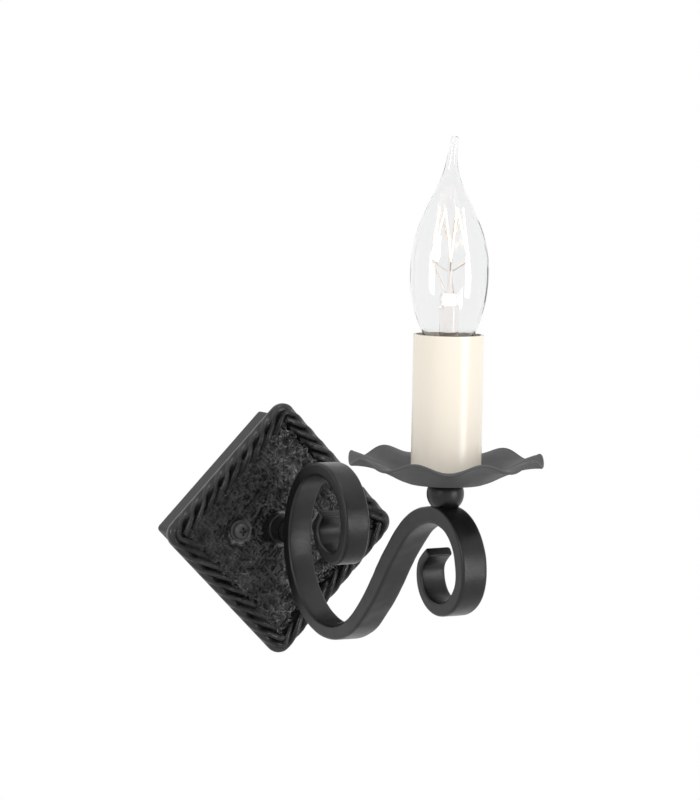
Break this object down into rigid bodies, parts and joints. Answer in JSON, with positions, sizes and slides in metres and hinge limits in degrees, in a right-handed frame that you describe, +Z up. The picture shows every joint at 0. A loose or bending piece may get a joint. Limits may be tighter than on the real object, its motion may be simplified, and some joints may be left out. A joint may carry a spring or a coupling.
{
  "type": "candle wall sconce",
  "caption": "Single-arm torch wall sconce: rope-edged cast plate on its point, forged scroll arm, waved drip pan, candle sleeve and bent-tip lamp.",
  "frame": {"origin": "centre of the wall strap's two fixing slots, in the plane of the wall", "axes": "+Z up; the wall is the plane Y = 0 and the light stands out from it along -Y; +X to the right for someone facing the light"},
  "size_m": [0.1232, 0.2195, 0.2556],
  "materials": {
    "black_iron": "satin black powder coat on forged steel",
    "cast_iron": "rough hammered casting under semi-gloss black paint",
    "box_paint": "smooth matt dark grey-black powder coat on sheet steel",
    "pan_paint": "matt dark grey powder coat on sheet steel",
    "blackened_screw": "blackened steel",
    "zinc_steel": "bright zinc plate",
    "brass": "plain brass",
    "cap_metal": "nickelled lamp cap",
    "black_glass": "black vitrite",
    "cream_sleeve": "cream, slightly glossy",
    "holder_plastic": "black thermoplastic",
    "clear_glass": "clear thin glass",
    "mount_glass": "clear pressed glass",
    "tungsten": "glowing coiled wire",
    "support_wire": "dull wire",
    "block_plastic": "natural polyamide",
    "brown_pvc": "brown insulation",
    "blue_pvc": "blue insulation",
    "earth_pvc": "green and yellow insulation"
  },
  "bodies": {
    "fixture": {"scroll_arm": "black_iron", "ball": "black_iron", "arm_collar": "black_iron", "stem_rosette": "black_iron", "cast_plate": "cast_iron", "wall_box": "box_paint", "drip_pan": "pan_paint", "fixing_screw_left": "blackened_screw", "fixing_screw_right": "blackened_screw", "screw_washers": "blackened_screw", "wall_strap": "zinc_steel", "stem_tube": "zinc_steel", "stem_nut": "zinc_steel", "lock_washer": "zinc_steel", "pan_stud": "zinc_steel", "pan_nut": "zinc_steel", "block_fixing_screw": "zinc_steel", "terminal_screws": "zinc_steel", "earth_screw": "zinc_steel", "earth_ring": "zinc_steel", "screw_shell": "brass", "centre_contact": "brass", "holder_terminals": "brass", "terminal_tubes": "brass", "holder_base": "holder_plastic", "holder_barrel": "holder_plastic", "terminal_block": "block_plastic", "live_wire": "brown_pvc", "neutral_wire": "blue_pvc", "earth_wire": "earth_pvc"},
    "lamp_foot": {"cap_insulator": "black_glass", "cap_contact": "cap_metal"},
    "lamp": {"lamp_cap": "cap_metal", "lamp_glass": "clear_glass", "lamp_stem": "mount_glass", "filament": "tungsten", "filament_supports": "support_wire", "lead_in_wires": "support_wire"},
    "sleeve": {"candle_sleeve": "cream_sleeve"}
  },
  "joints": [
    {"name": "lamp_rise", "type": "slide", "parent": "fixture", "child": "lamp_foot", "axis": [0, 0, 1], "range_m": [0, 0.0085]},
    {"name": "lamp_turn", "type": "hinge", "parent": "lamp_foot", "child": "lamp", "pos_m": [0, -0.1759, 0.09], "axis": [0, 0, 1], "range_deg": [0, 1080]},
    {"name": "sleeve_lift", "type": "slide", "parent": "fixture", "child": "sleeve", "axis": [0, 0, 1], "range_m": [0, 0.0065]}
  ],
  "couplings": [
    {"joint": "lamp_rise", "follows": "lamp_turn", "m_per_rad": 0.00044917}
  ]
}
